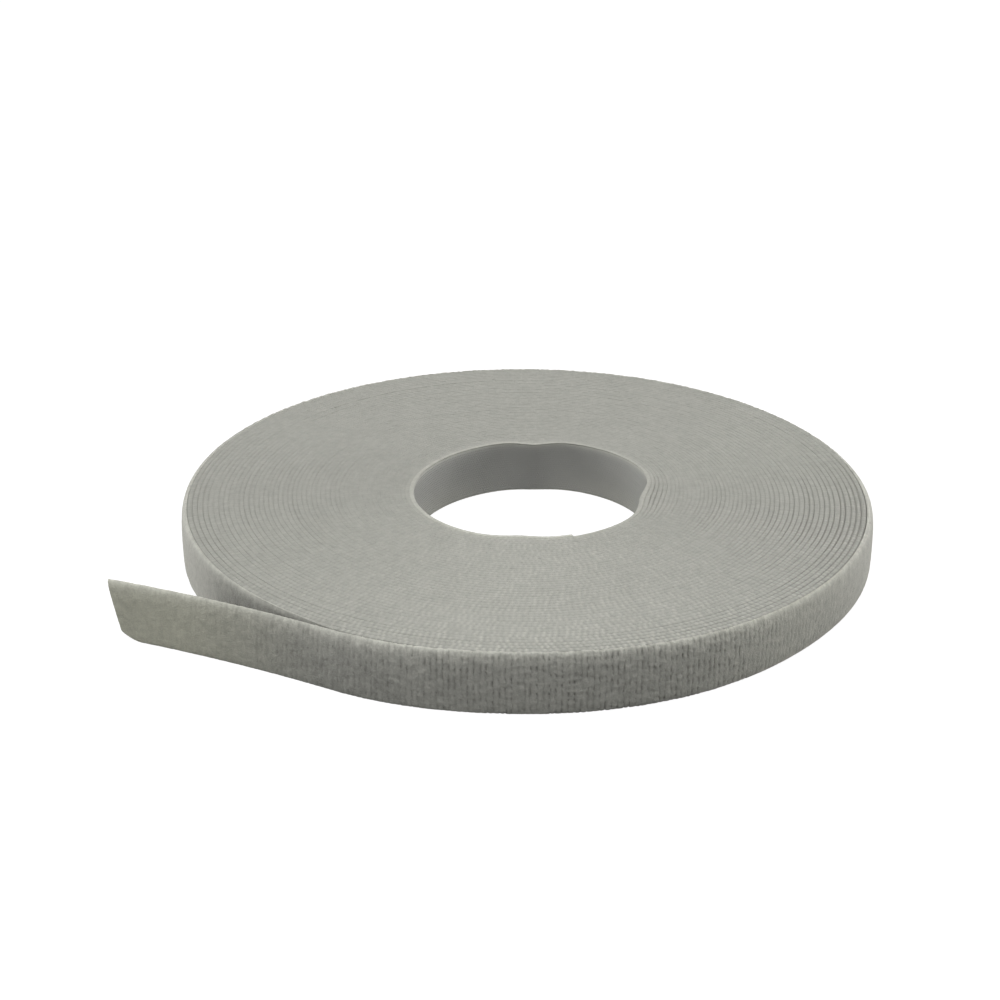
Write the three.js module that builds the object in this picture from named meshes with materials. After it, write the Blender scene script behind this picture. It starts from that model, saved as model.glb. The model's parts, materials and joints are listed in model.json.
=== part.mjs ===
// Roll of double-sided hook and loop tape, lying flat on its side with the outer end peeled off.
// Millimetres, +Z up. The roll's axis is vertical, and the origin is the middle of the whole's underside.
import * as THREE from "three";

// The tape: two strips bonded back to back
const TAPE_WIDTH = 20;
const LOOP_THICKNESS = 0.62; // knitted loop fabric, on the outside of every turn
const HOOK_THICKNESS = 0.45; // moulded hook strip, on the inside of every turn
const BOND_CLEARANCE = 0.3; // room for the bond between the two strips
const HOOK_EDGE_INSET = 0.3; // the hook strip stops short of both edges of the fabric

// The roll: a flat spiral without a core, wound tight at the bore and looser further out
const BORE_RADIUS = 42.3;
const TURNS = 49.14;
const BORE_CLEARANCE = 0.03; // between neighbouring turns at the bore
const RIM_CLEARANCE = 0.52; // between neighbouring turns at the rim
const PEEL_ANGLE = -118; // degrees round the axis where the tail leaves the roll
const SEAT_CLEARANCE = 0.3; // between the plain inner turns and the first open turn
const START_CLEARANCE = 0.5; // between the step in the inner turns and the start of the open turns

// The bore has been squeezed out of round and dented, which the outer turns don't show
const BORE_SHIFT = 2.7;
const BORE_SHIFT_ANGLE = -7;
const BORE_OVAL = 1;
const BORE_OVAL_ANGLE = 39;
const RIGHT_DENT_DEPTH = 4.2;
const BACK_DENT_DEPTH = 3.7;
const FRONT_DENT_DEPTH = 1.8;
const DENTS = [
  { angle: -10, depth: RIGHT_DENT_DEPTH, halfWidth: 16 },
  { angle: 85, depth: BACK_DENT_DEPTH, halfWidth: 10 },
  { angle: -92, depth: FRONT_DENT_DEPTH, halfWidth: 11 },
];

// The tail: the free end of the tape, standing on its edge, which bends at evenly spaced creases
const TAIL_LENGTH = 82.6;
const TAIL_SEGMENTS = 5;
const TAIL_BEND = 8.7; // degrees that the whole tail curves away from the roll
const TAIL_END_SLANT = 4.3; // how much further the upper corner of the cut end reaches
const TAIL_WORN_CORNER = 3; // cut off the lower corner of the end
const CREASE_CLEARANCE = 0.7; // lets neighbouring lengths of the tail turn through their whole range

// How finely round shapes are divided
const OPEN_LOOPS = 23; // outer turns that are modelled as open turns of both strips
const STEPS_PER_LOOP = 24;
const BORE_STEPS = 72;
const GAP_SAMPLES_PER_STEP = 4;

const GREY_FABRIC = { color: 0xa6a69e, roughness: 0.95, metalness: 0 };
const GREY_PLASTIC = { color: 0x7b7c76, roughness: 0.7, metalness: 0 };

const TAPE_THICKNESS = HOOK_THICKNESS + BOND_CLEARANCE + LOOP_THICKNESS;
const INNER_TURNS = TURNS - OPEN_LOOPS;
const FULL_TURN = 2 * Math.PI;
const peel = THREE.MathUtils.degToRad(PEEL_ANGLE);

// Radius of the inner face of the tape, counted in turns from the inner end
function innerFace(turn) {
  const loosening = ((RIM_CLEARANCE - BORE_CLEARANCE) * turn * turn) / (2 * TURNS);
  return BORE_RADIUS + (TAPE_THICKNESS + BORE_CLEARANCE) * turn + loosening;
}

// The tape runs clockwise from its inner end, seen from above, and ends at the peel angle
function angleAt(turn) {
  return peel + FULL_TURN * (TURNS - turn);
}

function polar(radius, angle) {
  return new THREE.Vector2(radius * Math.cos(angle), radius * Math.sin(angle));
}

// How far the bore departs from a round spiral in one direction
function boreDeparture(angle) {
  const degrees = THREE.MathUtils.radToDeg(angle);
  let departure = BORE_SHIFT * Math.cos(angle - THREE.MathUtils.degToRad(BORE_SHIFT_ANGLE));
  departure += BORE_OVAL * Math.cos(2 * (angle - THREE.MathUtils.degToRad(BORE_OVAL_ANGLE)));
  for (const dent of DENTS) {
    const away = THREE.MathUtils.euclideanModulo(degrees - dent.angle + 180, 360) - 180;
    departure -= dent.depth * Math.exp(-((away / dent.halfWidth) ** 2));
  }
  return departure;
}

// The inner turns: one plain ring from the bore to the first open turn, with a step in both outlines
function innerTurns() {
  const outline = [];
  for (let step = 0; step <= STEPS_PER_LOOP; step++) {
    const turn = INNER_TURNS + 1 - step / STEPS_PER_LOOP;
    outline.push(polar(innerFace(turn) - SEAT_CLEARANCE, angleAt(turn)));
  }
  const bore = [];
  for (let step = 0; step <= BORE_STEPS; step++) {
    const turn = 1 - step / BORE_STEPS;
    const angle = angleAt(turn);
    bore.push(polar(innerFace(turn) + boreDeparture(angle), angle));
  }
  const ring = new THREE.Shape(outline);
  ring.holes.push(new THREE.Path(bore));
  return new THREE.ExtrudeGeometry(ring, { depth: TAPE_WIDTH, bevelEnabled: false });
}

// A closed strip on edge: each station gives the inner and outer points of its section in plan
function stripOnEdge(stations, bottom, top) {
  const positions = [];
  for (const { inner, outer } of stations) {
    positions.push(inner.x, inner.y, bottom, outer.x, outer.y, bottom);
    positions.push(outer.x, outer.y, top, inner.x, inner.y, top);
  }
  const triangles = [];
  const quad = (a, b, c, d) => triangles.push(a, b, c, a, c, d);
  const corners = 4;
  for (let station = 0; station < stations.length - 1; station++) {
    const here = station * corners;
    for (let side = 0; side < corners; side++) {
      const next = (side + 1) % corners;
      quad(here + side, here + next, here + corners + next, here + corners + side);
    }
  }
  const last = (stations.length - 1) * corners;
  quad(3, 2, 1, 0);
  quad(last, last + 1, last + 2, last + 3);
  const geometry = new THREE.BufferGeometry();
  geometry.setAttribute("position", new THREE.Float32BufferAttribute(positions, 3));
  geometry.setIndex(triangles);
  geometry.computeVertexNormals();
  return geometry;
}

// Stations of one strip of the open turns, from its start beside the inner turns to the peel
function openTurns(offset, thickness) {
  const stations = [];
  const steps = OPEN_LOOPS * STEPS_PER_LOOP;
  const start = INNER_TURNS + START_CLEARANCE / (FULL_TURN * innerFace(INNER_TURNS));
  const end = TURNS - CREASE_CLEARANCE / 2 / (FULL_TURN * innerFace(TURNS));
  for (let step = 0; step <= steps; step++) {
    const turn = THREE.MathUtils.clamp(INNER_TURNS + step / STEPS_PER_LOOP, start, end);
    const radius = innerFace(turn) + offset;
    stations.push({ inner: polar(radius, angleAt(turn)), outer: polar(radius + thickness, angleAt(turn)) });
  }
  return stations;
}

// Least clearance between one turn of a strip and the next, measured on points along its straight steps
function leastGap(stations) {
  let least = Infinity;
  for (let step = 0; step + STEPS_PER_LOOP + 1 < stations.length; step++) {
    const near = stations[step];
    const far = stations[step + STEPS_PER_LOOP];
    const nearNext = stations[step + 1];
    const farNext = stations[step + STEPS_PER_LOOP + 1];
    for (let sample = 0; sample < GAP_SAMPLES_PER_STEP; sample++) {
      const share = sample / GAP_SAMPLES_PER_STEP;
      const from = near.outer.clone().lerp(nearNext.outer, share);
      for (let other = 0; other < GAP_SAMPLES_PER_STEP; other++) {
        const to = far.inner.clone().lerp(farNext.inner, other / GAP_SAMPLES_PER_STEP);
        least = Math.min(least, from.distanceTo(to));
      }
    }
  }
  return least;
}

// One stiff length of the tail, along +X from its crease, with its strip between two distances along +Y.
// The last length ends in a slanted cut with a worn lower corner.
function tailPiece(length, last, near, far, inset) {
  const slant = last ? TAIL_END_SLANT : 0;
  const corner = last ? TAIL_WORN_CORNER : 0;
  const reachAt = (height) => length - slant * (1 - height / TAPE_WIDTH);
  const side = new THREE.Shape();
  side.moveTo(CREASE_CLEARANCE / 2, inset);
  side.lineTo(reachAt(inset) - corner, inset);
  if (last) side.lineTo(reachAt(inset + corner), inset + corner);
  side.lineTo(reachAt(TAPE_WIDTH - inset), TAPE_WIDTH - inset);
  side.lineTo(CREASE_CLEARANCE / 2, TAPE_WIDTH - inset);
  const geometry = new THREE.ExtrudeGeometry(side, { depth: far - near, bevelEnabled: false });
  geometry.rotateX(Math.PI / 2);
  geometry.translate(0, far, 0);
  return geometry;
}

function named(name, geometry, look) {
  const mesh = new THREE.Mesh(geometry, new THREE.MeshStandardMaterial(look));
  mesh.name = name;
  return mesh;
}

// The tail's lengths form a chain of groups, each turned a little at its crease. -Y faces the roll.
function tail() {
  const segmentLength = TAIL_LENGTH / TAIL_SEGMENTS;
  const segmentBend = THREE.MathUtils.degToRad(TAIL_BEND / TAIL_SEGMENTS);
  const half = TAPE_THICKNESS / 2;
  const chain = new THREE.Group();
  const leave = polar(innerFace(TURNS) + half, peel);
  chain.position.set(leave.x, leave.y, 0);
  chain.rotation.z = peel - Math.PI / 2 + segmentBend / 2;
  let crease = chain;
  for (let number = 1; number <= TAIL_SEGMENTS; number++) {
    const last = number === TAIL_SEGMENTS;
    const length = last ? segmentLength + TAIL_END_SLANT / 2 : segmentLength - CREASE_CLEARANCE / 2;
    const loop = tailPiece(length, last, half - LOOP_THICKNESS, half, 0);
    const hook = tailPiece(length, last, -half, HOOK_THICKNESS - half, HOOK_EDGE_INSET);
    crease.add(named(`tail_loop_${number}`, loop, GREY_FABRIC));
    crease.add(named(`tail_hook_${number}`, hook, GREY_PLASTIC));
    if (!last) {
      const next = new THREE.Group();
      next.position.x = segmentLength;
      next.rotation.z = segmentBend;
      crease.add(next);
      crease = next;
    }
  }
  return chain;
}

const roll = new THREE.Group();
const hookStations = openTurns(0, HOOK_THICKNESS);
const loopStations = openTurns(HOOK_THICKNESS + BOND_CLEARANCE, LOOP_THICKNESS);
roll.add(named("inner_turns", innerTurns(), GREY_FABRIC));
const hookTurns = stripOnEdge(hookStations, HOOK_EDGE_INSET, TAPE_WIDTH - HOOK_EDGE_INSET);
const loopTurns = stripOnEdge(loopStations, 0, TAPE_WIDTH);
roll.add(named("hook_turns", hookTurns, GREY_PLASTIC));
roll.add(named("loop_turns", loopTurns, GREY_FABRIC));
roll.add(tail());
console.log("least gap of hook_turns to itself, mm:", leastGap(hookStations).toFixed(2));
console.log("least gap of loop_turns to itself, mm:", leastGap(loopStations).toFixed(2));

// The roll is placed so that the middle of the underside of everything is the origin
roll.updateMatrixWorld(true);
const extent = new THREE.Box3().setFromObject(roll);
const middle = extent.getCenter(new THREE.Vector3());
roll.position.set(-middle.x, -middle.y, 0);

const part = new THREE.Group();
part.add(roll);
export default part;
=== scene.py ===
import json
import math

import bpy
import numpy as np
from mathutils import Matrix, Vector


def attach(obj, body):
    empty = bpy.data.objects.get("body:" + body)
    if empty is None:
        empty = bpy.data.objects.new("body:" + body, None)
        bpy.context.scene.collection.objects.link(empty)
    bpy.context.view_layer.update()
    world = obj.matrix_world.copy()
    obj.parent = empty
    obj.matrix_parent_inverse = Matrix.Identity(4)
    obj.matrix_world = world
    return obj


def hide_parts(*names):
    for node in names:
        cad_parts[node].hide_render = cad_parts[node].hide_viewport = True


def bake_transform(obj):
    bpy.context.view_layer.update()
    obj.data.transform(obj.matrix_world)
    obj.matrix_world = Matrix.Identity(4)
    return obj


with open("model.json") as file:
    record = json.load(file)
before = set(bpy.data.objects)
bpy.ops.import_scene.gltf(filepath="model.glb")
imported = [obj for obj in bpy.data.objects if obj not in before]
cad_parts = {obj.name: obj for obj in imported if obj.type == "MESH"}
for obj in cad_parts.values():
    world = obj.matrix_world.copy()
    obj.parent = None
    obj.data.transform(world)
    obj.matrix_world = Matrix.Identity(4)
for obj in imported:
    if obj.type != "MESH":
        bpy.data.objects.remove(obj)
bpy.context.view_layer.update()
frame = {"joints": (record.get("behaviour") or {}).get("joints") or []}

# A roll of double-sided hook and loop tape that lies on its side, with its outer end peeled off.
# Lengths are in millimetres until a point is placed in the part's frame, which is in metres.
MM = 0.001
FULL_TURN = 2 * math.pi

# The tape: a hook strip inside, a loop fabric outside, bonded back to back
TAPE_WIDTH = 20.0
TAPE_THICKNESS = 1.37
HOOK_THICKNESS = 0.45
BOND = 0.02
FABRIC_BACK = HOOK_THICKNESS + BOND  # out from the tape's inner face

# The roll, wound as the solids are
BORE_RADIUS = 42.3
TURNS = 49.14
BORE_CLEARANCE = 0.03  # between the first turns
RIM_CLEARANCE = 0.52  # between the last turns
PEEL = math.radians(-118)  # where the tape leaves the roll
INNER_TURNS = 26.14  # turns over which the squeezed shape of the bore dies away
BORE_SHIFT = 2.7
BORE_SHIFT_ANGLE = math.radians(-7)
BORE_OVAL = 1.0
BORE_OVAL_ANGLE = math.radians(39)
# Each dent's angle in degrees, depth, half width in degrees, and share of its depth at the foot
DENTS = [(-10, 4.2, 16, 0.8), (85, 3.7, 10, 0.3), (-92, 1.8, 11, 1.0)]
DENT_FADE = 8.0  # turns over which a dent dies away
FRONT_LIFT = 1.0  # how far the outer turns stand up at the front of the roll
FOOT_CLEARANCE = 0.12  # between the floor and the lower edge of a covered turn
OUTER_FOOT = 0.3  # share of that clearance under the outer turn and the tail
FABRIC_DIVISIONS = [0, 18, 30, 40, TURNS - 1]  # turns between which the covered fabric is one piece

# The tail, as the solids have it
TAIL_LENGTH = 82.6
TAIL_SEGMENTS = 5
SEGMENT = TAIL_LENGTH / TAIL_SEGMENTS
TAIL_BEND = math.radians(8.7)
TAIL_END_SLANT = 6.0
TAIL_TRIM = 0.8  # the middle of the cut end lies this far short of the solids' end
CUT_LENGTH = 12.0  # tape whose stations are drawn in to the cut end
WORN_LENGTH = 6.0  # cut off the lower corner of the end, along the tape
WORN_HEIGHT = 3.6  # and up its width
TAIL_LEAN = 1.6  # how much further from the roll the tail's lower edge stands
LEAN_START = 60.0  # the outer turn begins to lean this far before the peel
OVERLAP = 4.0  # the outer turn ends this far before the peel, where the tail's first piece takes over
CREASE_BLEND = 5.0  # a length back from each crease along the tail
PEEL_BLEND = 2.0  # but this length back from the peel

# Knit and pile
STITCH = 1.9  # one rib of the fabric's face, and one stitch along its edge
RIB_STATIONS = 6  # on each rib of a face that shows
RIB_DEPTH = 0.45
ALIGNED_LAPS = 2  # neighbouring laps whose ribs line up
STRAY = 0.02  # how far single ribs stray from the height of their edge
EDGE_FOLD = 0.9  # the fabric's back begins this far in from both edges
EDGE_ROUND = 0.25  # height of the rounding at both edges, where the face shows
EDGE_LIP = 0.12  # width of the flat at such an edge
PILE_RISE = 0.5  # how far the pile stands up where no turn lies on it
PILE_LEAST = 0.14  # the pile is this thick at least
PILE_ROWS = np.linspace(1.2, TAPE_WIDTH - 0.9, 16)  # heights of the loops on each rib
PILE_SINK = 0.16  # how deep the loops stand in the face
PILE_START = 8.0  # the first loops, from where the outer turn comes out from under the peel
RIM_LOOPS = 2.0  # loops on each millimetre of the outer turn's upper edge
RIM_SINK = 0.08  # how deep they stand in the edge
UNCOVERED = 35.0  # length over which the outer turn comes out from under the peel
LOOP_RADIUS = 0.34
LOOP_STEPS = 4
LOOP_END_MARGIN = 0.7  # no loop stands nearer to the cut end of the tail
YARN_RADIUS = 0.09
YARN_SIDES = 3

# Hooks
HOOK_PITCH = 0.9  # along the tape
HOOK_ROWS = 20
HOOK_MARGIN = 1.2  # from both edges of the tape to the nearest row
HOOK_END_MARGIN = 1.0  # no hook stands nearer to either end of the tape
HOOK_OUT = -0.02  # the middle of a hook's foot, out from the tape's inner face
HOOK_FOOT = (0.24, 0.16, 0.16)
HOOK_BENDS = [((0.05, 0.16, 0), 0.75), ((0.14, 0.06, 0), 0.8)]  # each step of the stem, and how it narrows
STRIP_RECESS = 0.5  # the wound hook strip lies this far in from both edges of the fabric
STRIP_FACE = 0.02  # and its inner face this far out
STRIP_STEP = 2.5  # between its stations
SHOWN_STRIP_STEP = 0.75  # between the stations of the outer turn's and the tail's hook strip

# Random fields repeat after this many knots.
KNOTS = 1024
KNOT_ROWS = 64
FINE_STEPS = 4000  # for measuring along the spiral

# Meshes
SMOOTH_ANGLE = math.radians(50)  # edges bent by more than this stay sharp
WELD = 1e-6  # in metres
PATTERN_WELD = 1e-4

# The bake map
MAP_ROW = 12.0  # the rows of a long strip are laid out as if they were this wide
MAP_WIDEST = 2.0  # no face of a strip is given more of its row than one this wide
MAP_ROW_MARGIN = 0.04
MAP_CELL_MARGIN = 0.1
MAP_SKEW = (0.31, 0.17)  # a small shape's depth is laid aslant, so that its faces don't coincide

# Colours
FABRIC_GREY = (0.40, 0.40, 0.365, 1)
FUZZ_AND_PAINTED_LIGHT_GREY = (0.60, 0.60, 0.54, 1)
YELLOWED = (1.0, 1.0, 0.89, 1)
SHEEN_TINT = (1.0, 0.98, 0.9, 1)
PLASTIC_GREY = (0.37, 0.37, 0.352, 1)
STRAY_FUZZ_AND_PAINTED_LIGHT_GREY = (0.5, 0.5, 0.46, 1)
WHITE = (1, 1, 1, 1)
FLOOR_GREY = (0.3, 0.3, 0.3, 1)
FLOOR_GLOW = 0.88
FLOOR_BOUNCE_GREY = (0.42, 0.42, 0.42, 1)

# Light, in metres and watts: each softbox's name, place, width, height and power
SOFTBOXES = [
    ("overhead softbox", (0, -0.6, 1.5), 2.2, 1.8, 22.7),
    ("left softbox", (-1.42, 0.5, 0.5), 1.0, 0.8, 17.2),
    ("right softbox", (1.42, 0.55, 0.45), 1.0, 0.8, 16.8),
    ("front fill", (-0.6, -1.7, 0.7), 1.0, 0.8, 1.2),
]
FLOOR_SIZE = 8

# The camera, placed from the roll's axis
CAMERA_BACK = 589.9
CAMERA_HEIGHT = 285.4
CAMERA_AIM = Vector((-0.01392, 0.90908, -0.41713))
CAMERA_LENS = 63.92
CAMERA_SENSOR = 36


# Smooth and random numbers


def soften(share):
    """Eases a share in and out."""
    return share * share * (3 - 2 * share)


def ramp(value, start, length):
    """0 up to the start, 1 from that length on, and smooth between."""
    return soften(np.clip((value - start) / length, 0, 1))


def hump(value, middle, half_width):
    """1 in the middle and falling away on both sides."""
    return np.exp(-(((value - middle) / half_width) ** 2))


def bell(angle, middle, half_width):
    """A hump round the roll. The angle is in radians, its middle and half width in degrees."""
    away = (np.degrees(angle) - middle + 180) % 360 - 180
    return hump(away, 0, half_width)


def waver(places, spacing, seed):
    """Smooth random numbers from -1 to 1 along a line, with one knot at every spacing."""
    knots = np.random.default_rng(seed).uniform(-1, 1, KNOTS)
    steps = np.asarray(places) / spacing
    first = np.floor(steps).astype(int)
    share = soften(steps - first)
    return knots[first % KNOTS] * (1 - share) + knots[(first + 1) % KNOTS] * share


def mottle(across, up, wide, high, seed):
    """Smooth random numbers from -1 to 1 over a surface, with knots that far apart."""
    knots = np.random.default_rng(seed).uniform(-1, 1, (KNOTS, KNOT_ROWS))
    x, y = np.broadcast_arrays(np.asarray(across) / wide, np.asarray(up) / high)
    column, row = np.floor(x).astype(int), np.floor(y).astype(int)
    beside, above = soften(x - column), soften(y - row)
    left, right = column % KNOTS, (column + 1) % KNOTS
    lower, upper = (
        knots[left, level] * (1 - beside) + knots[right, level] * beside
        for level in (row % KNOT_ROWS, (row + 1) % KNOT_ROWS)
    )
    return lower * (1 - above) + upper * above


# The winding


def inner_radius(turn):
    """Radius of the tape's inner face on a round spiral, counted in turns from the inner end."""
    loosening = (RIM_CLEARANCE - BORE_CLEARANCE) * turn**2 / (2 * TURNS)
    return BORE_RADIUS + (TAPE_THICKNESS + BORE_CLEARANCE) * turn + loosening


def turn_angle(turn):
    """Where the tape has got to round the roll."""
    return PEEL + FULL_TURN * (TURNS - turn)


def squeeze(turn, angle, up):
    """How far the squeezed bore moves the inner turns in or out."""
    fade = np.clip(1 - turn / INNER_TURNS, 0, 1)
    moved = BORE_SHIFT * np.cos(angle - BORE_SHIFT_ANGLE)
    moved = moved + BORE_OVAL * np.cos(2 * (angle - BORE_OVAL_ANGLE))
    for middle, depth, half_width, foot in DENTS:
        depth = depth * (foot + (1 - foot) * np.clip(up / TAPE_WIDTH, 0, 1))
        moved = moved - depth * bell(angle, middle, half_width) * np.exp(-turn / DENT_FADE)
    return moved * fade


peel_joint = next(joint for joint in frame["joints"] if joint["name"] == "tail_peel")
CREASE = [value / MM for value in peel_joint["pos_m"]]
PEEL_RADIUS = inner_radius(TURNS) + TAPE_THICKNESS / 2
AXIS_X = CREASE[0] - PEEL_RADIUS * math.cos(PEEL)
AXIS_Y = CREASE[1] - PEEL_RADIUS * math.sin(PEEL)
LAP = FULL_TURN * PEEL_RADIUS  # length of the outer turn
OUTER_START = -LAP  # where it begins, counted along the tape from the peel


def on_roll(turn, out, up):
    """Places tape on the roll.

    It is given in turns from the inner end, out from its inner face, and up its width."""
    angle = turn_angle(turn)
    radius = inner_radius(turn) + squeeze(turn, angle, up) + out
    x = AXIS_X + radius * np.cos(angle)
    y = AXIS_Y + radius * np.sin(angle)
    return np.stack(np.broadcast_arrays(x, y, up), axis=-1) * MM


def on_tape(along, out, up):
    """Places tape near its outer end.

    Along counts from the peel: below zero is on the roll, above zero on the tail."""
    lean = TAIL_LEAN * ramp(along, -LEAN_START, LEAN_START)
    out = out + lean * (1 - up / TAPE_WIDTH)
    rolled = on_roll(TURNS + along / LAP, out, up)
    start = PEEL - math.pi / 2
    curve = TAIL_BEND / TAIL_LENGTH
    heading = start + curve * along
    off = out - TAPE_THICKNESS / 2
    x = CREASE[0] + (np.sin(heading) - math.sin(start)) / curve - off * np.sin(heading)
    y = CREASE[1] - (np.cos(heading) - math.cos(start)) / curve + off * np.cos(heading)
    free = np.stack(np.broadcast_arrays(x, y, up), axis=-1) * MM
    on_the_roll = np.broadcast_to(along < 0, free.shape[:-1])
    return np.where(on_the_roll[..., None], rolled, free)


def on_edge(along, up, out):
    """Places a shape that stands up from the tape's edge."""
    return on_tape(along, out, up)


def outer_turn(along):
    """Turns from the inner end, for tape near its outer end. The tail counts as the peel."""
    return TURNS + np.minimum(along, 0) / LAP


def outer_angle(along):
    return turn_angle(outer_turn(along))


def stations(start, end, spacing):
    """Turns at an even spacing along the tape."""
    fine = np.linspace(start, end, FINE_STEPS)
    middle = (fine[1:] + fine[:-1]) / 2
    steps = FULL_TURN * inner_radius(middle) * np.diff(fine)
    length = np.concatenate([[0], np.cumsum(steps)])
    along = np.linspace(0, length[-1], int(length[-1] / spacing) + 1)
    return np.interp(along, length, fine)


def slack(turn):
    """How far the turns stand open, from 0 to about 1, and some turns more than others.

    They are loosest on the right, towards the rim. On the left they are a little loose half way
    out, and so are the outermost turns at the front and the first turns by the dent in the bore."""
    angle = turn_angle(turn)
    outward = np.clip(turn, 0, TURNS) / TURNS
    right = (0.05 + 0.86 * bell(angle, -14, 29)) * outward**1.4
    left = 0.23 * bell(angle, 209, 42) * ramp(outward, 0.25, 0.3)
    left = left * (1 - 0.35 * ramp(outward, 0.88, 0.1))
    left = left + 0.17 * bell(angle, 228, 24) * ramp(outward, 0.7, 0.2)
    front = 0.24 * bell(angle, -68, 25) * ramp(outward, 0.75, 0.2)
    dent = 0.5 * bell(angle, -8, 22) * hump(turn, 2, 3.5)
    return (right + left + front + dent) * (0.75 + 0.45 * waver(turn, 0.8, seed=43))


def lap_gap(turn):
    """Clear space between a turn's pile and the next turn's hooks."""
    return 0.005 + (0.05 + 0.04 * waver(turn, 0.7, seed=41)) * slack(turn)


def tape_fill(turn):
    """Thickness of the tape where it lies in the roll: what the pitch of the turns leaves."""
    angle = turn_angle(turn)
    face = inner_radius(turn) + squeeze(turn, angle, TAPE_WIDTH)
    next_face = inner_radius(turn + 1) + squeeze(turn + 1, angle, TAPE_WIDTH)
    return next_face - face - lap_gap(turn)


UPPER, LOWER = 0, 1


def edge_height(turn, side):
    """How far the edge of each turn stands off the flat, because no roll is wound quite true."""
    place = turn * FULL_TURN * inner_radius(turn)
    loose = 0.01 + 0.15 * np.clip(turn / TURNS, 0, 1) ** 2 * (0.3 + 0.7 * slack(turn))
    slow = waver(place, 170, seed=11 + side)
    lap = waver(turn, 0.8, seed=23 + side)
    height = loose * (0.6 * slow + 0.7 * lap)
    if side == UPPER:
        height = height + FRONT_LIFT * ramp(turn, 34, 14) * bell(turn_angle(turn), -88, 22)
    return height


# Finishes


class Value:
    """An output socket, with arithmetic that adds Math nodes."""

    def __init__(self, finish, socket):
        self.finish = finish
        self.socket = socket

    def math(self, operation, first, second):
        return self.finish.node("ShaderNodeMath", {"operation": operation}, {0: first, 1: second})

    def __add__(self, other):
        return self.math("ADD", self, other)

    def __sub__(self, other):
        return self.math("SUBTRACT", self, other)

    def __rsub__(self, other):
        return self.math("SUBTRACT", other, self)

    def __mul__(self, other):
        return self.math("MULTIPLY", self, other)

    __radd__ = __add__
    __rmul__ = __mul__


class Finish:
    """The nodes of a material or of the world."""

    def __init__(self, owner):
        self.owner = owner
        owner.use_nodes = True
        self.tree = owner.node_tree
        self.tree.nodes.clear()

    def node(self, kind, settings=None, inputs=None, output=0):
        made = self.tree.nodes.new(kind)
        for key, value in (settings or {}).items():
            setattr(made, key, value)
        for key, value in (inputs or {}).items():
            if isinstance(value, Value):
                self.tree.links.new(value.socket, made.inputs[key])
            else:
                made.inputs[key].default_value = value
        return Value(self, made.outputs[output]) if made.outputs else made

    def grain(self, size, detail=2.0, rough=0.5, tall=1.0):
        """Noise from 0 to 1 with spots of that size in millimetres, that many times as tall as wide."""
        where = self.node("ShaderNodeTexCoord", output="Object")
        where = self.node("ShaderNodeMapping", {}, {"Vector": where, "Scale": (1, 1, 1 / tall)})
        scale = 1 / (size * MM)
        inputs = {"Vector": where, "Scale": scale, "Detail": detail, "Roughness": rough}
        return self.node("ShaderNodeTexNoise", {}, inputs, "Fac")

    def mark(self, name):
        """A value that the mesh holds for each of its points."""
        return self.node("ShaderNodeAttribute", {"attribute_name": name}, {}, "Fac")

    def mix(self, share, first, second, blend="MIX"):
        """Mixes two colours. The numbers are the colour sockets of a Mix node."""
        settings = {"data_type": "RGBA", "blend_type": blend}
        return self.node("ShaderNodeMix", settings, {0: share, 6: first, 7: second}, 2)

    def tint(self, colour, level):
        """A colour made lighter or darker by a value round 1."""
        grey = self.node("ShaderNodeCombineColor", {}, {0: level, 1: level, 2: level})
        return self.mix(1.0, colour, grey, "MULTIPLY")

    def looked_at(self):
        """1 where the camera sees this, also in a reflection or through glass.

        It is 0 where this only gives light."""
        camera = self.node("ShaderNodeLightPath", output="Is Camera Ray")
        glossy = self.node("ShaderNodeLightPath", output="Is Glossy Ray")
        through = self.node("ShaderNodeLightPath", output="Is Transmission Ray")
        return camera.math("MAXIMUM", camera.math("MAXIMUM", camera, glossy), through)

    def done(self, surface):
        self.node("ShaderNodeOutputMaterial", {}, {"Surface": surface})
        return self.owner


def loop_fabric(name, fuzziness, sheen):
    """Grey knitted loop fabric: paler fuzz on its crowns, a painted highlight along its edges, and painted
    shade down between its ribs.
    """
    finish = Finish(bpy.data.materials.new(name))
    warm, felt = finish.mark("warm"), finish.mark("felt")
    patches = finish.grain(12, 2.0) - 0.5
    clumps = finish.grain(2.4, 1.0) - 0.5
    fuzz = finish.grain(0.5, 3.0, 0.65) - 0.5
    threads = (finish.grain(0.7, 2.0, 0.5, 3.0) - 0.5) * (1 - 0.9 * felt)
    level = 1 + (0.1 + 0.2 * warm) * patches + fuzziness * (0.9 * clumps + fuzz + 0.6 * threads)
    # A little painted light where it has yellowed, painted shade down in the slits, and the fabric's
    # painted shade and light
    level = level + 0.1 * warm - 0.5 * finish.mark("slit") - finish.mark("wear_and_painted_shading")
    # Paler fuzz, and painted highlights along the upper edge and the rim of the bore
    grey = finish.mix(finish.mark("fuzz_and_painted_light"), FABRIC_GREY, FUZZ_AND_PAINTED_LIGHT_GREY)
    grey = finish.mix(warm, grey, YELLOWED, "MULTIPLY")
    relief = {"Strength": 0.8, "Distance": 0.3 * MM, "Height": fuzz + 0.7 * threads}
    surface = {
        "Base Color": finish.tint(grey, level),
        "Roughness": 0.95,
        "Specular IOR Level": 0.1,
        "Sheen Weight": sheen,
        "Sheen Tint": SHEEN_TINT,
        "Sheen Roughness": 0.35,
        "Normal": finish.node("ShaderNodeBump", {}, relief),
    }
    return finish.done(finish.node("ShaderNodeBsdfPrincipled", {}, surface))


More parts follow.
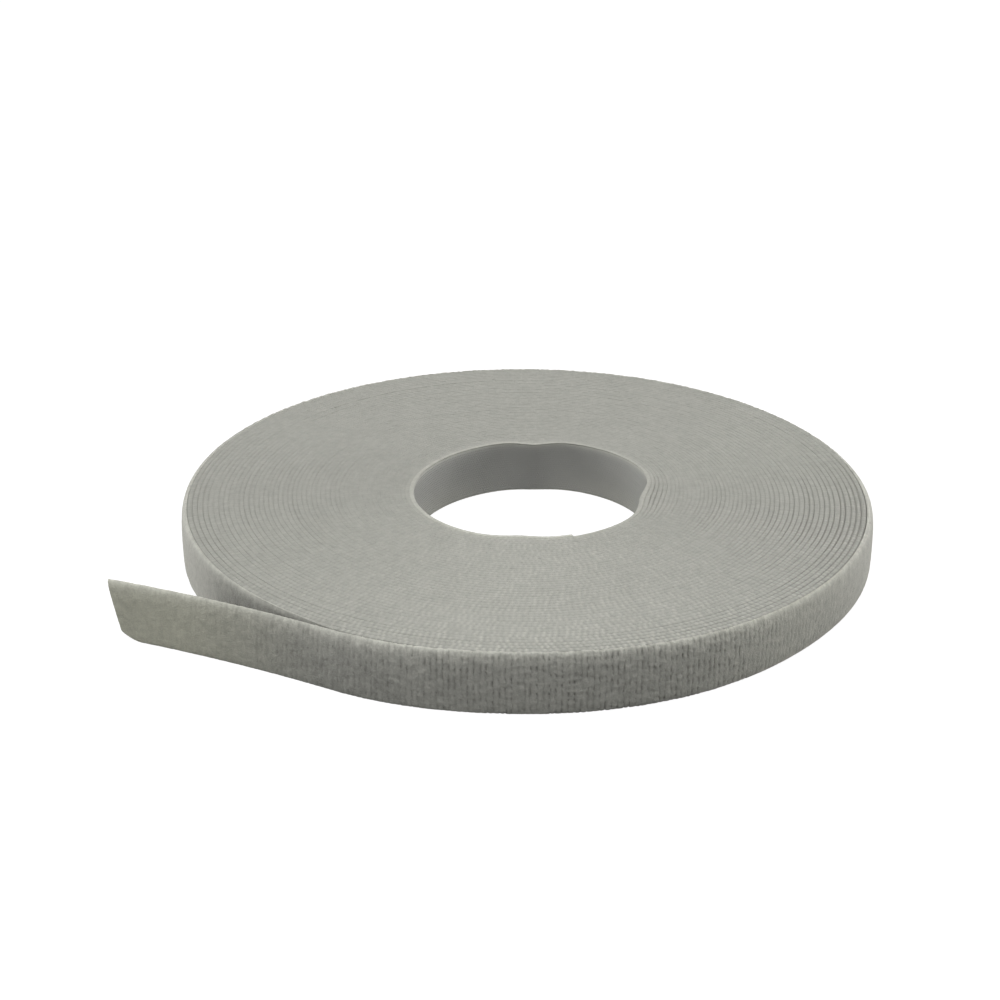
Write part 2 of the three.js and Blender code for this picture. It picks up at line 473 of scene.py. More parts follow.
def hook_plastic():
    """Satin grey moulded plastic, with painted light at the foot of the bore, and paler under stray fuzz of
    the fabric, with a painted highlight there.
    """
    finish = Finish(bpy.data.materials.new("hook plastic"))
    patches = finish.grain(9, 2.0)
    fine = finish.grain(0.4, 2.0)
    grey = finish.mix(finish.mark("fuzz_and_painted_light"), PLASTIC_GREY, STRAY_FUZZ_AND_PAINTED_LIGHT_GREY)
    relief = {"Strength": 0.25, "Distance": 0.1 * MM, "Height": fine}
    surface = {
        "Base Color": finish.tint(grey, 0.9 + 0.12 * patches + 0.08 * fine),
        "Roughness": 0.5 + 0.15 * patches,
        "Specular IOR Level": 0.35,
        "Normal": finish.node("ShaderNodeBump", {}, relief),
    }
    return finish.done(finish.node("ShaderNodeBsdfPrincipled", {}, surface))


FABRIC = loop_fabric("loop fabric", fuzziness=0.5, sheen=0.7)
FABRIC_EDGE = loop_fabric("loop fabric edge", fuzziness=0.28, sheen=0.05)
PLASTIC = hook_plastic()


# Meshes


def add_mark(mesh, mark, values):
    """Stores one value for each point of a mesh."""
    layer = mesh.attributes.new(mark, "FLOAT", "POINT")
    layer.data.foreach_set("value", values.astype(np.float32).ravel())


def closed(rings):
    """Each ring of points or values, with its first again at the end."""
    return np.concatenate([rings, rings[:, :1]], axis=1)


def folded_map(mesh, rings, ring, points):
    """Lays a long strip out in rows for the bake, each a length of the strip, with its ring across it."""
    length = np.linalg.norm(np.diff(points[:, 0], axis=0), axis=1).sum()
    girth = np.linalg.norm(np.diff(points[0], axis=0), axis=1)
    girth = np.sqrt(np.minimum(girth, MAP_WIDEST * MM))
    across = np.concatenate([[0], np.cumsum(girth)]) / girth.sum()
    rows = max(1, round(math.sqrt(length / (MAP_ROW * MM))))
    per_row = math.ceil((rings - 1) / rows)
    corner = np.empty(len(mesh.loops), np.int32)
    mesh.loops.foreach_get("vertex_index", corner)
    station, place = corner // ring, corner % ring
    row = np.repeat(station.reshape(-1, 4).min(axis=1) // per_row, 4)
    u = (station - row * per_row) / per_row
    v = (row + MAP_ROW_MARGIN + (1 - 2 * MAP_ROW_MARGIN) * across[place]) / rows
    layer = mesh.uv_layers[0]
    layer.name = "OFBake"
    layer.data.foreach_set("uv", np.stack([u, v], axis=1).astype(np.float32).ravel())


def strip(name, points, marks, finish):
    """A closed strip bent from a grid: a ring of points round the tape's section at every station."""
    open_shape = points.shape[:2]
    points = closed(points)
    rings, ring = points.shape[:2]
    bpy.ops.object.select_all(action="DESELECT")
    bpy.ops.mesh.primitive_grid_add(x_subdivisions=ring - 1, y_subdivisions=rings - 1, size=1)
    piece = bpy.context.object
    piece.name = name
    mesh = piece.data
    mesh.name = name
    mesh.vertices.foreach_set("co", points.astype(np.float32).ravel())
    for mark, values in marks.items():
        add_mark(mesh, mark, closed(np.broadcast_to(values, open_shape)))
    folded_map(mesh, rings, ring, points)
    bpy.ops.object.mode_set(mode="EDIT")
    bpy.ops.mesh.select_all(action="SELECT")
    bpy.ops.mesh.remove_doubles(threshold=WELD)
    bpy.ops.mesh.fill_holes(sides=0)
    bpy.ops.mesh.select_all(action="SELECT")
    bpy.ops.mesh.normals_make_consistent(inside=False)
    bpy.ops.object.mode_set(mode="OBJECT")
    bpy.ops.object.shade_smooth_by_angle(angle=SMOOTH_ANGLE)
    mesh.materials.append(finish)
    return piece


def pile_loop():
    """One loop of yarn, which stands on the fabric: its feet along X, its crown towards Y."""
    bpy.ops.object.select_all(action="DESELECT")
    bpy.ops.mesh.primitive_circle_add(
        vertices=YARN_SIDES, radius=YARN_RADIUS, location=(-LOOP_RADIUS, 0, 0), rotation=(math.pi / 2, 0, 0)
    )
    bpy.ops.object.transform_apply(location=True, rotation=True, scale=True)
    bpy.ops.object.mode_set(mode="EDIT")
    bpy.ops.mesh.select_all(action="SELECT")
    bpy.ops.mesh.spin(steps=LOOP_STEPS, angle=math.pi, center=(0, 0, 0), axis=(0, 0, -1))
    return finished_pattern()


def moulded_hook():
    """One hook of the strip: a stem towards Y that bends over along X."""
    bpy.ops.object.select_all(action="DESELECT")
    bpy.ops.mesh.primitive_cube_add(size=1, scale=HOOK_FOOT)
    bpy.ops.object.transform_apply(location=False, rotation=False, scale=True)
    bpy.ops.object.mode_set(mode="EDIT")
    for step, shrink in HOOK_BENDS:
        select_outermost(bpy.context.object)
        bpy.ops.mesh.extrude_region_move(TRANSFORM_OT_translate={"value": step})
        bpy.ops.transform.resize(value=(shrink, shrink, shrink))
    return finished_pattern()


def select_outermost(piece):
    """Selects the face that lies furthest towards Y."""
    bpy.ops.mesh.select_all(action="DESELECT")
    bpy.ops.object.mode_set(mode="OBJECT")
    top = max(piece.data.polygons, key=lambda face: face.center.y)
    top.select = True
    bpy.ops.object.mode_set(mode="EDIT")


def finished_pattern():
    """Closes the shape in edit mode, cuts it into triangles, and returns its points and triangles.

    Both are sorted, because the editing tools can leave them in another order each run."""
    bpy.ops.mesh.select_all(action="SELECT")
    bpy.ops.mesh.remove_doubles(threshold=PATTERN_WELD)
    bpy.ops.mesh.fill_holes(sides=0)
    bpy.ops.mesh.select_all(action="SELECT")
    bpy.ops.mesh.normals_make_consistent(inside=False)
    bpy.ops.mesh.quads_convert_to_tris()
    bpy.ops.object.mode_set(mode="OBJECT")
    piece = bpy.context.object
    points = np.array([vertex.co for vertex in piece.data.vertices])
    triangles = np.array([list(face.vertices) for face in piece.data.polygons])
    bpy.data.objects.remove(piece)
    order = np.lexsort(points.round(4).T)
    triangles = np.argsort(order)[triangles]
    lowest = triangles.argmin(axis=1)[:, None]
    triangles = np.take_along_axis(triangles, (lowest + np.arange(3)) % 3, axis=1)
    return points[order], triangles[np.lexsort(triangles.T)]


def copies(name, pattern, spots, place, finish, marks, turned=0.0, sizes=1.0, unit=1.0):
    """Copies of a small shape at spots on the tape, each turned about its own stem and sized.

    A spot is given along, out and up, and unit is the length that its along counts in."""
    points, triangles = pattern
    x, y, z = (points * np.reshape(sizes, (-1, 1, 1))).transpose(2, 0, 1)
    turned = np.reshape(turned, (-1, 1))
    along = spots[:, :1] + (x * np.cos(turned) - z * np.sin(turned)) / unit
    up = spots[:, 2:] + x * np.sin(turned) + z * np.cos(turned)
    placed = place(along, spots[:, 1:2] + y, up)
    count, corners = placed.shape[:2]
    faces = triangles[None] + np.arange(count)[:, None, None] * corners
    mesh = bpy.data.meshes.new(name)
    mesh.from_pydata(placed.reshape(-1, 3), [], faces.reshape(-1, 3))
    for mark, values in marks.items():
        add_mark(mesh, mark, np.broadcast_to(np.reshape(values, (-1, 1)), (count, corners)))
    cells = math.ceil(math.sqrt(count))
    flat = points[:, [0, 1]] + points[:, [2]] * np.array(MAP_SKEW)
    flat = (flat - flat.min(axis=0)) / np.ptp(flat, axis=0)
    flat = MAP_CELL_MARGIN + (1 - 2 * MAP_CELL_MARGIN) * flat
    cell = np.stack([np.arange(count) % cells, np.arange(count) // cells], axis=1)
    spread = (cell[:, None] + flat[triangles.ravel()][None]) / cells
    mesh.uv_layers.new(name="OFBake").data.foreach_set("uv", spread.astype(np.float32).ravel())
    mesh.materials.append(finish)
    piece = bpy.data.objects.new(name, mesh)
    bpy.context.scene.collection.objects.link(piece)
    return piece


# The covered turns


def section_columns(section):
    """A section of the tape, given point by point as out, up and a share, in columns."""
    outs, ups, shares = zip(*section)
    return np.stack(outs, axis=1), np.stack(ups, axis=1), np.array(shares)


def rib_places(start, end, seed):
    """Turns in the valley and on the crown of every rib, 0 or 1 for which it is, and each rib's tone.

    The ribs of a few neighbouring laps line up and share some of their tone."""
    rng = np.random.default_rng(seed)
    places, crowns, tones = [], [], []
    for lap in range(start, math.ceil(end)):
        row = lap // ALIGNED_LAPS
        count = round(FULL_TURN * inner_radius((row + 0.5) * ALIGNED_LAPS) / STITCH)
        rib = np.arange(2 * count) / 2
        drift = rng.uniform(-0.2, 0.2) + 0.3 * waver(rib, 5, seed=200 + row)
        shared = np.random.default_rng(300 + row).uniform(-1, 1, count)
        places.append(lap + (rib + 0.25 + drift) / count)
        crowns.append(np.arange(2 * count) % 2)
        tones.append(np.repeat(0.4 * shared + 0.6 * rng.uniform(-1, 1, count), 2))
    places, crowns, tones = (np.concatenate(part) for part in (places, crowns, tones))
    inside = (places > start) & (places < end)
    turn = np.concatenate([[start], places[inside], [end]])
    return turn, np.pad(crowns[inside], 1), np.pad(tones[inside], 1)


def rib_show(turn):
    """How far the ribs show on the edge of the covered turns: most at the front and near the rim."""
    angle = turn_angle(turn)
    front = np.minimum(bell(angle, -85, 72), bell(angle, -60, 85))
    outward = turn / TURNS
    return (0.15 + 0.85 * front) * (0.55 + 0.45 * outward**5 + 0.35 * outward**10)


def wound_fabric(name, start, end, seed):
    """Loop fabric of the covered turns. Only its ribbed edges show.

    They lap over the hook strip, but not where the turns stand open."""
    turn, crown, tone = rib_places(start, end, seed)
    stray = np.random.default_rng(seed).normal(0, STRAY, (2, len(turn)))
    angle = turn_angle(turn)
    loose = slack(turn)
    show = rib_show(turn)
    valley = show * (1 - crown)
    first_turn = np.exp(-turn / 0.8)
    back = np.full_like(turn, FABRIC_BACK)
    lip = 0.004 + 0.1 * loose
    outer = tape_fill(turn) - 0.003
    rounding = np.minimum(0.012 + 0.75 * loose, 0.42 * (outer - lip))
    top = TAPE_WIDTH + edge_height(turn, UPPER) + stray[0] + 0.15 * first_turn - 0.1 * valley
    bevel, shoulder = top - 0.3 * rounding, top - 0.9 * rounding
    bottom = FOOT_CLEARANCE + np.abs(edge_height(turn, LOWER)) + np.abs(stray[1])
    out, up, groove = section_columns(
        [
            (back, bottom + EDGE_FOLD, 0),
            (lip, bottom, 0),
            (outer, bottom, 0),
            (outer, shoulder, 1),
            (outer - 0.35 * rounding, bevel, 0.75),
            (outer - rounding, top, 0.1),
            (lip + rounding, top, 0.1),
            (lip + 0.35 * rounding, bevel, 0.75),
            (lip, shoulder, 1),
            (back, top - EDGE_FOLD, 0),
        ]
    )
    # Paler crowns of the ribs, and a painted highlight along the rim of the bore on the first turn
    fuzz_and_painted_light = 0.1 + show * crown * (0.27 + 0.36 * tone) + 0.9 * first_turn
    # Painted shade down in the rib valleys, and in the grooves where the turns stand open
    slit = valley * (0.2 + 0.15 * tone)
    # Painted light on the top: lighter at the front, with painted shade on the left
    wear_and_painted_shading = 0.05 * bell(angle, 180, 40) - 0.09 * bell(angle, -90, 40)
    marks = {
        "fuzz_and_painted_light": fuzz_and_painted_light[:, None],
        "slit": slit[:, None] + 0.35 * loose[:, None] * groove,
        "warm": 0.0,
        "felt": 0.5,
        "wear_and_painted_shading": wear_and_painted_shading[:, None],
    }
    return strip(name, on_roll(turn[:, None], out, up), marks, FABRIC_EDGE)


def painted_bore_light(turn, up):
    """Painted light on the wall of the bore: how much paler it is painted towards its foot. The back of it
    stays even.
    """
    foot = np.clip(1 - up / TAPE_WIDTH, 0, 1)
    return 1.2 * foot**2.5 * (1 - bell(turn_angle(turn), 90, 32))


def wound_hook_strip(name, end):
    """Hook strip of the covered turns.

    Its inner face is the wall of the bore, with stray fuzz and a painted highlight at the top, and painted
    light towards its foot."""
    turn = stations(0, end, STRIP_STEP)
    top = TAPE_WIDTH + edge_height(turn, UPPER) - STRIP_RECESS
    bottom = FOOT_CLEARANCE + np.abs(edge_height(turn, LOWER)) + STRIP_RECESS
    face = np.full_like(turn, STRIP_FACE)
    back = np.full_like(turn, HOOK_THICKNESS)
    out, up, fuzz = section_columns(
        [
            (face, bottom, 0),
            (back, bottom, 0),
            (back, top, 1),
            (face, top, 1),
            (face, top - 0.8, 0.6),
            (face, top - 1.8, 0.2),
            (face, top - 3.2, 0),
            (face, top - 10, 0),
        ]
    )
    # Paler stray fuzz with a painted highlight at the top of the wall, and painted light towards its foot
    marks = {"fuzz_and_painted_light": fuzz + painted_bore_light(turn[:, None], up)}
    return strip(name, on_roll(turn[:, None], out, up), marks, PLASTIC)


# The outer turn and the tail


def at_peel(along):
    """1 where the tape begins to leave the roll, and falling away on both sides."""
    return hump(along, 0, 40)


def uncovered(along):
    """0 where the outer turn comes out from under the peel, and soon 1."""
    return ramp(along, OUTER_START, UNCOVERED)


def covered(along):
    """1 where the outer turn's fabric laps over its hook strip, and 0 from just before the peel on."""
    return ramp(-along, 18, 20)


def under_tail(along):
    """1 on the part of the outer turn where the tail closes on it, and 0 further on."""
    return 1 - ramp(along, OUTER_START + 70, 30)


def ribbed(along):
    """How much of its ribs the fabric shows: most at the front, then at the back.

    It shows little where it is brushed to felt, on the left and right, and less on the tail."""
    angle = outer_angle(along)
    front = np.maximum(bell(angle, -82, 29), bell(angle, -100, 32)) + 0.15 * bell(angle, -66, 10)
    back = 0.75 * soften(np.clip(3 * np.sin(angle) - 0.2, 0, 1))
    shown = 0.06 + 0.94 * np.maximum(front, back)
    handled = 0.55 * ramp(along, -75, 80)
    return shown * (1 - handled) * (1 - 0.7 * under_tail(along)) * (1 - 0.5 * ramp(along, 0, 70))


def ribs(along, up):
    """Height of the pile over its base, and how deep each place lies in a slit.

    The slits between the ribs are ragged, and deepest towards the top, but not at the very edge."""
    lean = 0.07 * mottle(along, up, 9.0, 6.0, seed=31) + 0.07 * mottle(along, up, 1.3, 1.1, seed=32)
    phase = along / STITCH + lean
    rib = np.floor(phase)
    across = phase - rib
    crown = (4 * across * (1 - across)) ** 0.8
    torn = mottle(rib * 7.3, up + 0.43 * rib, 1.0, 0.95, seed=33)
    depth = np.clip(0.45 + 0.85 * torn, 0.05, 1.2)
    depth = depth * (0.75 + 0.6 * up / TAPE_WIDTH + 0.4 * np.exp(-up / 2.5))
    depth = depth * (1 - 0.6 * np.exp(-(TAPE_WIDTH - up)))
    tufts = 0.14 * mottle(rib * 3.1, up + 0.29 * rib, 1.0, 0.8, seed=36)
    tufts = tufts + 0.05 * mottle(along, up, 0.65, 0.8, seed=34)
    slit = depth * ribbed(along) * np.clip(1 - crown, 0, 1)
    return tufts * (0.3 + 0.7 * ribbed(along)) - RIB_DEPTH * slit, slit


def pile_rise(along):
    """How far the pile of the outer turn stands up, which is less where the tail closes on it."""
    angle = outer_angle(along)
    pressed = 0.5 * hump(along, OUTER_START + 20, 15)
    rise = 1 - 0.8 * bell(angle, 40, 25) + 0.8 * bell(angle, 145, 30)
    rise = PILE_RISE * (rise + 0.8 * bell(angle, -6, 16) - 0.8 * bell(angle, -48, 18))
    return np.where(along < 0, rise * (1 - 0.8 * under_tail(along)) - pressed, PILE_RISE)


def face_heights():
    """Heights up the pile's face, closer together at its edges."""
    near = np.array([0.12, 0.35, 0.7, 1.1])
    return np.concatenate([near, np.linspace(1.5, TAPE_WIDTH - 1.5, 42), TAPE_WIDTH - near[::-1]])


def pile_face(along, up):
    """Where the ribbed face of the pile is, out from the tape's inner face, and how deep in a slit.

    It rolls back slowly towards the top and quickly at the foot, but hardly where the last turn
    covers it."""
    height, slit = ribs(along, up)
    below = TAPE_WIDTH - up
    loose = at_peel(along)
    rolled = 0.45 * np.exp(-below / 0.45)
    rolled = rolled + (1.0 + 0.3 * loose) * np.exp(-below / (3.2 + 1.4 * loose))
    tucked = 0.7 * bell(outer_angle(along), -40, 16)
    rolled = rolled + 0.35 * np.exp(-up / 0.4) + 0.35 * np.exp(-up / 1.5) + tucked * np.exp(-up / 5)
    rolled = rolled * (0.1 + 0.9 * uncovered(along))
    face = tape_fill(outer_turn(along)) + pile_rise(along) - rolled
    face = face + height * np.clip(1.5 - rolled, 0.2, 1)
    return np.maximum(face, FABRIC_BACK + PILE_LEAST), slit


def painted_rim_highlight(along, up):
    """Painted highlight on the fuzz: how much paler it is painted towards the upper edge."""
    angle = outer_angle(along)
    ragged = 0.25 + 0.75 * ribbed(along)
    reach = 1.4 + 1.8 * at_peel(along) + 0.8 * bell(angle, -62, 20)
    reach = reach * (1 + 0.45 * ragged * waver(along, 1.2, seed=62))
    bright = np.where(along < 0, 0.2 + 0.7 * bell(angle, -80, 75), 0.9)
    bright = bright + 0.35 * hump(along, -15, 25)
    bright = bright * (1 + 0.6 * ragged * waver(along, 0.7, seed=61))
    return bright * np.exp(-(TAPE_WIDTH - up) / reach) * uncovered(along)


def warmth(along, up):
    """How far the fabric has yellowed. The same share gives it a little painted light.

    It has at its free end, below the edge, and a little at the right of the front."""
    below = 1 - 0.7 * np.exp(-(TAPE_WIDTH - up) / 2)
    return 0.85 * below * ramp(along, -5, 70) + 0.25 * bell(outer_angle(along), -45, 20)


def painted_shading(along, up):
    """Painted shade and light on the fabric: darker by the peel, below its upper edge, and lighter at its
    free end.

    It has a painted shadow where the outer turn lies behind the tail, painted shade towards its foot at
    the front right and on both sides, and painted highlights at the rim by the peel and on the left and
    right."""
    angle = outer_angle(along)
    below = TAPE_WIDTH - up
    foot = 1 - up / TAPE_WIDTH
    behind = 1 - ramp(along, OUTER_START + 45, 40)
    # Painted shade by the peel, a painted shadow behind the tail, and painted shade towards the foot
    darker = 0.2 * (1 - np.exp(-below / 4)) * hump(along, 2, 26)
    darker = darker + 0.42 * behind * (1 - np.exp(-below / 3))
    darker = darker + foot * (0.15 * bell(angle, -175, 10) + 0.3 * bell(angle, -35, 14))
    darker = darker + 0.12 * np.exp(-up / 3) * bell(angle, -63, 18)
    # Painted light at the free end, and painted highlights at the rim by the peel and on the left and right
    lighter = 0.12 * ramp(along, 35, 30)
    lighter = lighter + 0.14 * np.exp(-below / 2) * hump(along, -18, 22)
    lighter = lighter + 0.13 * bell(angle, -175, 17) + 0.16 * bell(angle, -4, 14)
    return darker - lighter


def fabric_marks(along, up, fuzz_and_painted_light, slit, felt):
    """What the fabric's finish reads at each point.

    These are how much paler its fuzz is, with its painted highlight, how deep it lies in a slit, which
    gives painted shade, how far it has yellowed, how far it is brushed to felt, and its painted shade and
    light."""
    warm, wear_and_painted_shading = warmth(along, up), painted_shading(along, up)
    return {"fuzz_and_painted_light": fuzz_and_painted_light, "slit": slit, "warm": warm, "felt": felt, "wear_and_painted_shading": wear_and_painted_shading}


def pile(name, start, end, seed):
    """Loops of yarn on the ribs of the fabric's face."""
    rng = np.random.default_rng(seed)
    ribs_along = np.arange(math.ceil(start / STITCH), math.floor(end / STITCH)) + 0.5
    along, up = np.meshgrid(ribs_along * STITCH, PILE_ROWS, indexing="ij")
    along = along.ravel() + rng.normal(0, 0.3, along.size)
    up = up.ravel() + rng.uniform(-0.5, 0.5, up.size)
    on_fabric = along < tail_end(up) - LOOP_END_MARGIN
    along, up = along[on_fabric], up[on_fabric]
    face, _ = pile_face(along, up)
    spots = np.stack([along, face - PILE_SINK, up], axis=1)
    turned = math.pi / 2 + rng.normal(0, 0.6, len(along))
    raised = ribbed(along)
    sizes = rng.uniform(0.7, 1.3, len(along)) * (0.6 + 0.4 * raised)
    # Random tone of each loop, and a painted highlight towards the upper edge
    tone = rng.uniform(0, 1, len(along)) * (0.15 + 0.85 * raised) + painted_rim_highlight(along, up)
    marks = fabric_marks(along, up, tone, 0.0, 1 - raised)
    return copies(name, LOOP_PATTERN, spots, on_tape, FABRIC, marks, turned, sizes)


def rim_loops(name, start, end, seed):
    """Small loops of yarn that stand on the upper edge of the outer turn."""
    rng = np.random.default_rng(seed)
    along = rng.uniform(start, end, int((end - start) * RIM_LOOPS))
    upper = np.full_like(along, TAPE_WIDTH)
    face, _ = pile_face(along, upper)
    height = TAPE_WIDTH + edge_height(outer_turn(along), UPPER) - RIM_SINK
    spots = np.stack([along, height, rng.uniform(0.3, 0.95, len(along)) * face], axis=1)
    turned = rng.uniform(0, math.pi, len(along))
    sizes = rng.uniform(0.5, 1.2, len(along))
    # Random tone of each loop on the rim, and half the painted highlight of the edge
    tone = rng.uniform(-0.2, 0.8, len(along)) + 0.5 * painted_rim_highlight(along, upper)
    marks = fabric_marks(along, upper, tone, 0.0, 0.5)
    return copies(name, RIM_PATTERN, spots, on_edge, FABRIC, marks, turned, sizes)


def tail_end(up):
    """Where the tail is cut off: on a slant, with a worn lower corner."""
    wear_and_painted_shading = WORN_LENGTH * np.clip(1 - up / WORN_HEIGHT, 0, 1) ** 1.6
    return TAIL_LENGTH - TAIL_TRIM + TAIL_END_SLANT * (up / TAPE_WIDTH - 0.5) - wear_and_painted_shading


def cut(along, up):
    """Draws the last stations in to the slanted end."""
    share = np.clip(1 - (TAIL_LENGTH - along) / CUT_LENGTH, 0, 1)
    return along + share * (tail_end(up) - TAIL_LENGTH)


def shown_fabric(name, start, end):
    """Loop fabric whose face shows: ribbed pile outside, a plain back inside, rounded edges."""
    count = max(2, int(round((end - start) / STITCH * RIB_STATIONS)))
    along = np.linspace(start, end, count + 1)[:, None]
    face_up = face_heights()
    face, slit = pile_face(along, face_up[None])
    turn = outer_turn(along)
    back = np.full_like(along, FABRIC_BACK)
    inner = back - (back - 0.04) * covered(along)
    eased = inner + EDGE_LIP + 0.3 * slack(turn)
    rib_edge, _ = ribs(along, np.array([[0.0, TAPE_WIDTH]]))
    frayed = 0.2 * (0.2 + 0.8 * ribbed(along)) * waver(along, 0.8, seed=63)
    top = TAPE_WIDTH + edge_height(turn, UPPER) + 0.35 * rib_edge[:, 1:] + frayed
    bottom = OUTER_FOOT * (FOOT_CLEARANCE + np.abs(edge_height(turn, LOWER))) - 0.1 * rib_edge[:, :1]
    middle = bottom + face_up[None] / TAPE_WIDTH * (top - bottom)
    outs = [back, inner, inner + EDGE_LIP, face, eased, inner, back]
    ups = [bottom + EDGE_FOLD, bottom + EDGE_ROUND, bottom, middle, top, top - EDGE_ROUND, top - EDGE_FOLD]
    out, up = np.concatenate(outs, axis=1), np.concatenate(ups, axis=1)
    # Painted shade down in the slits between the ribs
    slits = np.pad(slit, ((0, 0), (3, 3)))  # none on the three points at each edge
    # A painted highlight on the fuzz towards the upper edge
    marks = fabric_marks(along, up, 0.12 + painted_rim_highlight(along, up), slits, 1 - ribbed(along))
    return strip(name, on_tape(cut(along, up), out, up), marks, FABRIC)


def shown_hook_strip(name, start, end):
    """Hook strip of the outer turn or the tail, set in a little from both edges of the fabric.

    It has rows of points over the height of the worn corner, so its end is cut as the fabric's is."""
    count = max(2, int(round((end - start) / SHOWN_STRIP_STEP)))
    along = np.linspace(start, end, count + 1)[:, None]
    inset = 0.3 + 0.7 * covered(along)
    rows = np.concatenate([inset + np.linspace(0, WORN_HEIGHT, 8), TAPE_WIDTH - inset], axis=1)
    out = np.concatenate([np.full_like(rows, HOOK_THICKNESS), np.zeros_like(rows)], axis=1)
    up = np.concatenate([rows, rows[:, ::-1]], axis=1)
    return strip(name, on_tape(cut(along, up), out, up), {}, PLASTIC)


# Hooks


def hook_spots(start, end):
    """Rows of hooks along the tape, every other row set half a pitch on, with their feet in the strip."""
    columns = np.arange(start + HOOK_PITCH / 2, end, HOOK_PITCH)
    along, row = np.meshgrid(columns, np.arange(HOOK_ROWS), indexing="ij")
    along = along + HOOK_PITCH / 2 * (row % 2)
    up = HOOK_MARGIN + row * (TAPE_WIDTH - 2 * HOOK_MARGIN) / (HOOK_ROWS - 1)
    return np.stack([along.ravel(), np.full(along.size, HOOK_OUT), up.ravel()], axis=1)


def bore_hooks(name):
    """Hooks on the inner face of the first turn."""
    length = FULL_TURN * BORE_RADIUS
    spots = hook_spots(HOOK_END_MARGIN, length)
    spots[:, 0] /= length
    # Painted light towards the foot of the bore, as on its wall
    marks = {"fuzz_and_painted_light": painted_bore_light(spots[:, 0], spots[:, 2])}
    return copies(name, HOOK_PATTERN, spots, on_roll, PLASTIC, marks, unit=length)


def tail_hooks(name, start, end):
    """Hooks on the inner face of the tail, which is cut off on a slant."""
    spots = hook_spots(start, end)
    spots = spots[spots[:, 0] < tail_end(spots[:, 2]) - HOOK_END_MARGIN]
    return copies(name, HOOK_PATTERN, spots, on_tape, PLASTIC, {})


LOOP_PATTERN = pile_loop()
RIM_PATTERN = LOOP_PATTERN[0], LOOP_PATTERN[1][:, ::-1]  # laid with its crown up the tape's width
points, triangles = moulded_hook()
HOOK_PATTERN = points * np.array([1, -1, 1]), triangles[:, ::-1]  # turned to point inwards

# The pieces of the roll
wound_pieces = []
for number, start in enumerate(FABRIC_DIVISIONS[:-1], start=1):
    end = FABRIC_DIVISIONS[number]
    wound_pieces.append(wound_fabric(f"wound_fabric_{number}", start, end, seed=number))
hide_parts("inner_turns")
outer_pieces = [
    shown_fabric("outer_turn_fabric_1", OUTER_START, OUTER_START * 2 / 3),
    shown_fabric("outer_turn_fabric_2", OUTER_START * 2 / 3, OUTER_START / 3),
    shown_fabric("outer_turn_fabric_3", OUTER_START / 3, -OVERLAP),
]
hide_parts("loop_turns")
outer_pieces.append(pile("outer_turn_pile", OUTER_START + PILE_START, -OVERLAP, seed=5))
outer_pieces.append(rim_loops("outer_turn_rim_loops", OUTER_START + UNCOVERED, -OVERLAP, seed=6))
hook_pieces = [
    wound_hook_strip("wound_hook_strip", TURNS - 1),
    shown_hook_strip("outer_turn_hook_strip", OUTER_START, -OVERLAP),
]
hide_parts("hook_turns")
hook_pieces.append(bore_hooks("bore_hooks"))
for piece in wound_pieces + outer_pieces:
    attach(piece, "roll")
for piece in hook_pieces:
    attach(piece, "roll")

# The pieces of the tail: each crosses one crease and ends half way to the next
for number, joint in enumerate(frame["joints"], start=1):
    crease = Vector(joint["pos_m"])
    start = -OVERLAP if number == 1 else (number - 1.5) * SEGMENT
    end = TAIL_LENGTH if number == TAIL_SEGMENTS else (number - 0.5) * SEGMENT
    fabric = shown_fabric(f"tail_fabric_{number}", start, end)
    loops = pile(f"tail_pile_{number}", start, end, seed=10 + number)
    base = shown_hook_strip(f"tail_hook_strip_{number}", start, end)
    hooks = tail_hooks(f"tail_hooks_{number}", start, end)
    heading = PEEL - math.pi / 2 + TAIL_BEND * (number - 1) / TAIL_SEGMENTS
    forward = Vector((math.cos(heading), math.sin(heading), 0))
    before = (PEEL_BLEND if number == 1 else CREASE_BLEND) * MM
    slots = {fabric: "loop_fabric", loops: "loop_fabric", base: "hook_strip", hooks: "hook_strip"}
    for piece, slot in slots.items():
        crease - before * forward
        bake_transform(piece)
    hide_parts(f"tail_loop_{number}")
    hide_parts(f"tail_hook_{number}")


# Floor, light and camera


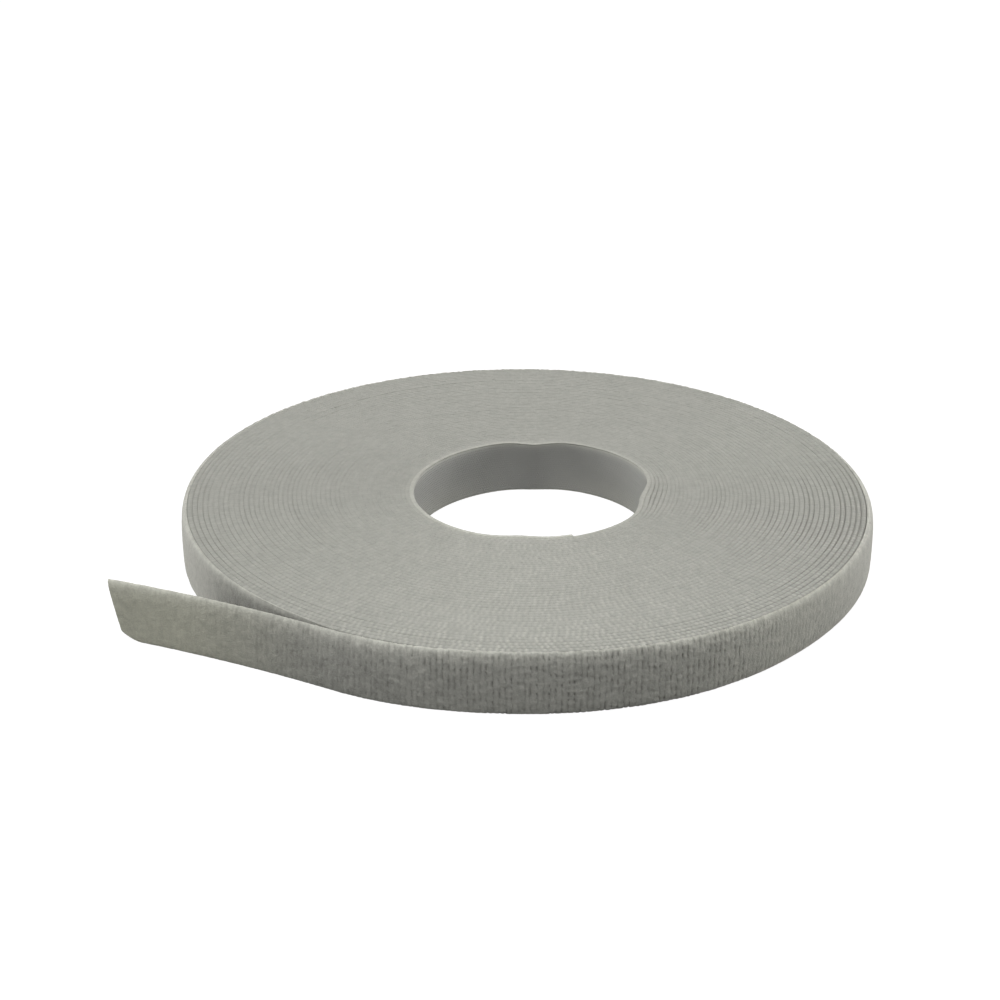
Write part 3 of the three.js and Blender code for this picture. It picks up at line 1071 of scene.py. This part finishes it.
def floor_finish():
    """White where the camera looks at it, with the shadow kept, and dim for the light it throws back."""
    finish = Finish(bpy.data.materials.new("floor"))
    dim = finish.node("ShaderNodeBsdfDiffuse", {}, {"Color": FLOOR_BOUNCE_GREY})
    shaded = finish.node("ShaderNodeBsdfDiffuse", {}, {"Color": FLOOR_GREY})
    glow = finish.node("ShaderNodeEmission", {}, {"Color": WHITE, "Strength": FLOOR_GLOW})
    bright = finish.node("ShaderNodeAddShader", {}, {0: shaded, 1: glow})
    return finish.done(finish.node("ShaderNodeMixShader", {}, {0: finish.looked_at(), 1: dim, 2: bright}))


bpy.ops.object.select_all(action="DESELECT")
bpy.ops.mesh.primitive_plane_add(size=FLOOR_SIZE)
floor = bpy.context.object
floor.name = "floor"
floor.data.materials.append(floor_finish())

origin = Vector((0, 0, 0))
for name, place, width, height, watts in SOFTBOXES:
    bpy.ops.object.light_add(type="AREA", location=place)
    lamp = bpy.context.object
    lamp.name = name
    lamp.data.shape = "RECTANGLE"
    lamp.data.size = width
    lamp.data.size_y = height
    lamp.data.energy = watts
    lamp.rotation_euler = (origin - Vector(place)).to_track_quat("-Z", "Y").to_euler()

scene = bpy.context.scene
scene.view_settings.view_transform = "Standard"
world = bpy.data.worlds.new("studio")
scene.world = world
sky = Finish(world)
dim_sky = sky.node("ShaderNodeBackground", {}, {"Color": WHITE, "Strength": 0.0})
white_sky = sky.node("ShaderNodeBackground", {}, {"Color": WHITE, "Strength": 1.0})
mixed_sky = sky.node("ShaderNodeMixShader", {}, {0: sky.looked_at(), 1: dim_sky, 2: white_sky})
sky.node("ShaderNodeOutputWorld", {}, {"Surface": mixed_sky})

camera_data = bpy.data.cameras.new("camera")
camera = bpy.data.objects.new("camera", camera_data)
scene.collection.objects.link(camera)
camera_data.lens = CAMERA_LENS
camera_data.sensor_width = CAMERA_SENSOR
camera.location = (AXIS_X * MM, (AXIS_Y - CAMERA_BACK) * MM, CAMERA_HEIGHT * MM)
camera.rotation_euler = CAMERA_AIM.to_track_quat("-Z", "Y").to_euler()
scene.camera = camera

bpy.context.view_layer.update()
